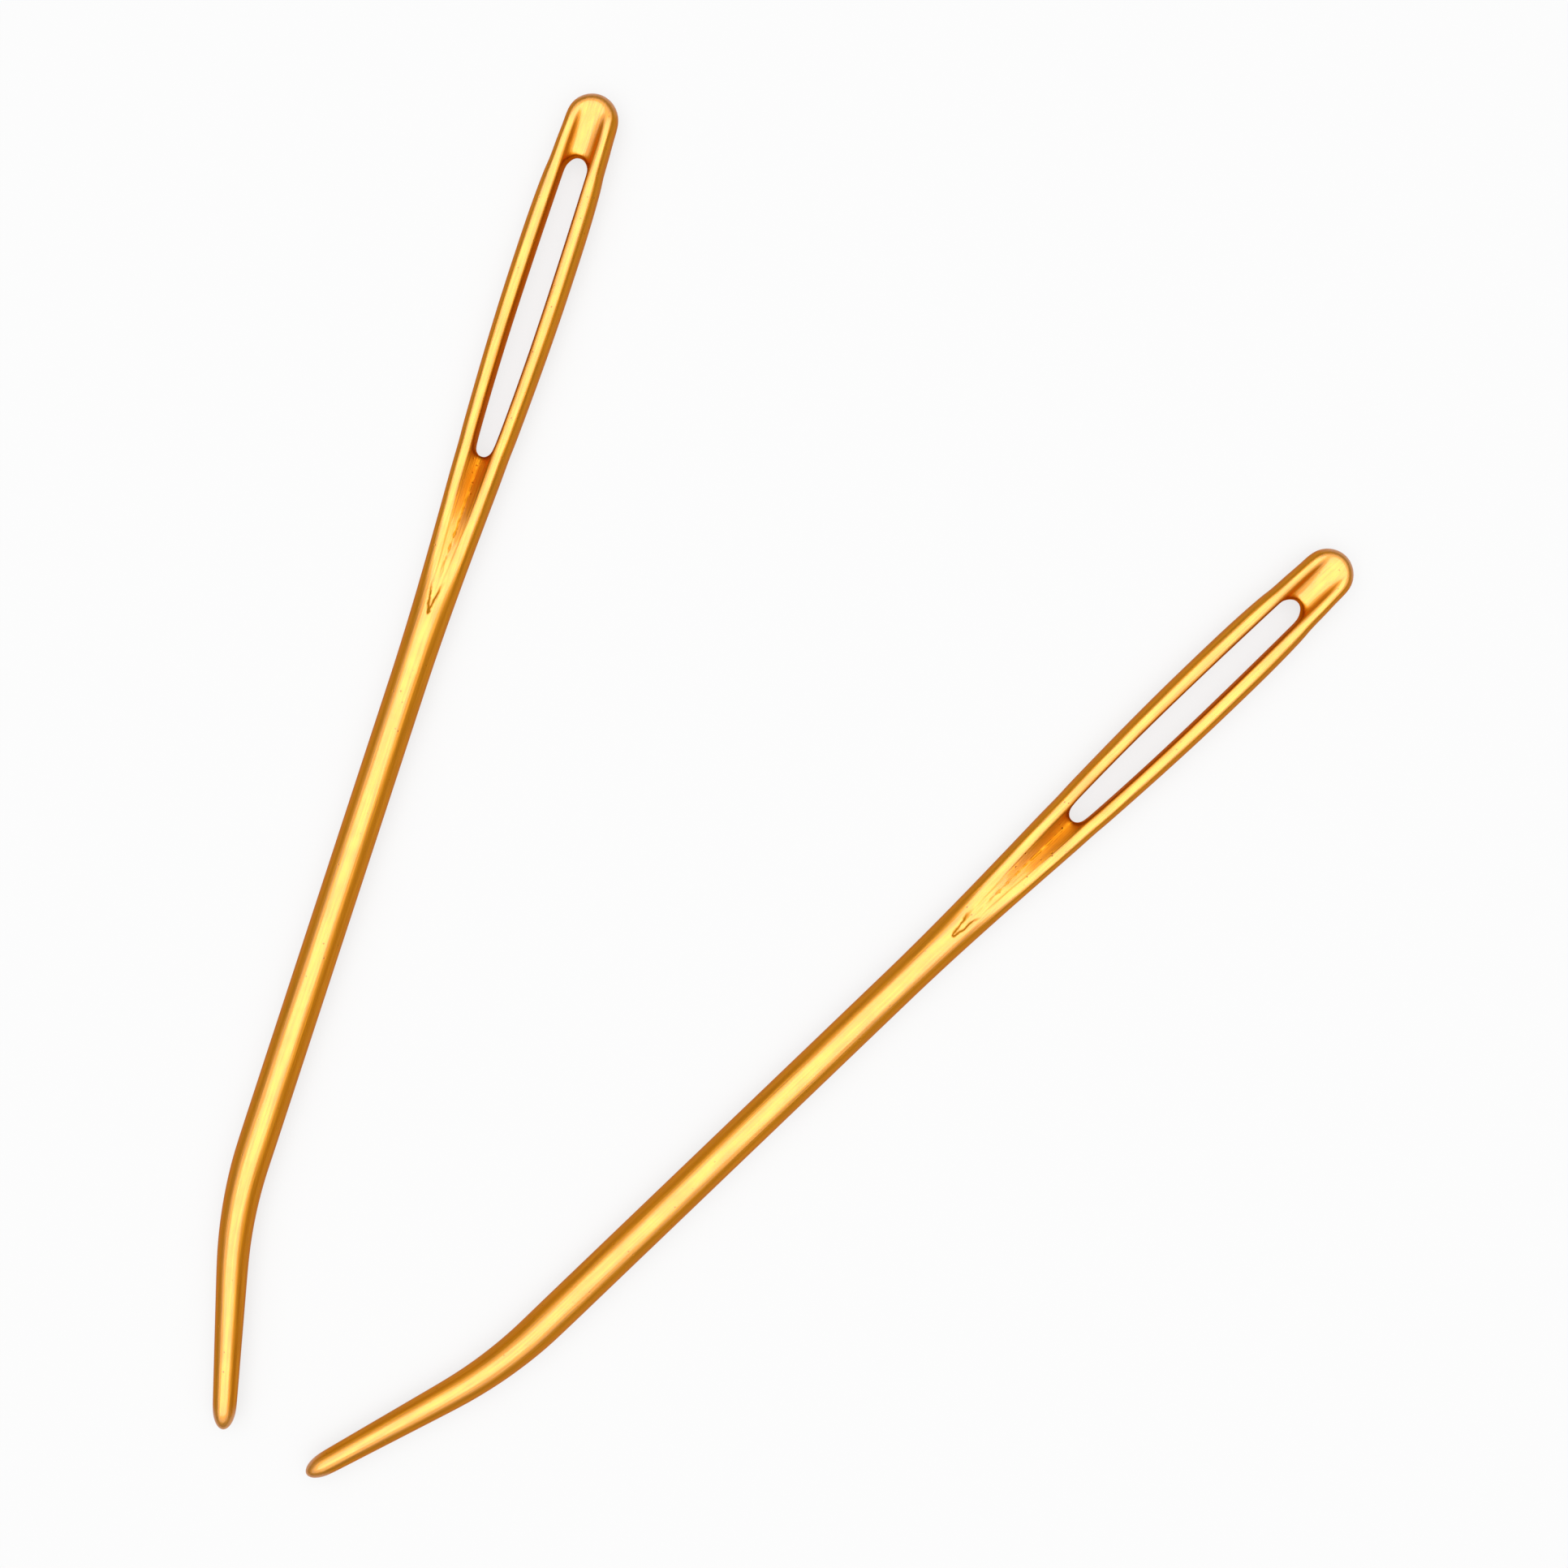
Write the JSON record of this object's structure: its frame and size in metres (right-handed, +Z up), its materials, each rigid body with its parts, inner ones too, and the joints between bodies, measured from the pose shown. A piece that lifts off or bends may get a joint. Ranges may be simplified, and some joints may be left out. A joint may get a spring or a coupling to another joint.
{
  "type": "yarn needle",
  "caption": "Blunt bent-tip metal needles with a long pressed eye for yarn, laid flat as a loose set.",
  "frame": {"origin": "centre of the box round the laid-out set, on the surface that the needles lie on", "axes": "+Z up from that surface; +Y the set's longest extent, towards the head of the left needle; +X towards the head of the right needle"},
  "size_m": [0.0726, 0.0882, 0.0024],
  "materials": {
    "gold_metal": "satin polished, gold anodised"
  },
  "bodies": {
    "left_needle": {"left_shaft": "gold_metal", "left_outer_limb": "gold_metal", "left_inner_limb": "gold_metal", "left_head": "gold_metal"},
    "right_needle": {"right_shaft": "gold_metal", "right_outer_limb": "gold_metal", "right_inner_limb": "gold_metal", "right_head": "gold_metal"}
  },
  "joints": [
    {"name": "right_needle_lift", "type": "slide", "parent": "left_needle", "child": "right_needle", "axis": [0, 0, 1], "range_m": [0, 0.03]}
  ]
}
